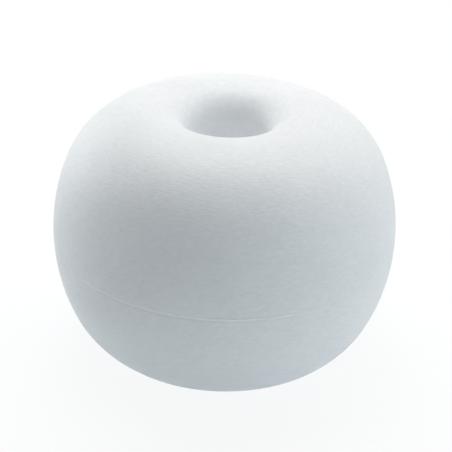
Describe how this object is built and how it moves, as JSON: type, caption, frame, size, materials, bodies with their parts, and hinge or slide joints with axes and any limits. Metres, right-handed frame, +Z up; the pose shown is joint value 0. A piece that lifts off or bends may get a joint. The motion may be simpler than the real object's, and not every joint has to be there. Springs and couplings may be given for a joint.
{
  "type": "mooring buoy",
  "caption": "Squat round white plastic mooring buoy, moulded in one piece, with a hole through its middle that opens into a smooth trumpet mouth at each end.",
  "frame": {"origin": "on the axis of the through-hole, in the plane of the lower crown that the buoy stands on", "axes": "+Z up along the through-hole's axis; the buoy is round about Z, so X and Y are any two level directions"},
  "size_m": [0.4009, 0.401, 0.3],
  "materials": {
    "white_plastic": "cool white polyethylene with a fine orange-peel grain and a soft satin sheen"
  },
  "bodies": {
    "root": {"buoy_body": "white_plastic"}
  },
  "joints": []
}
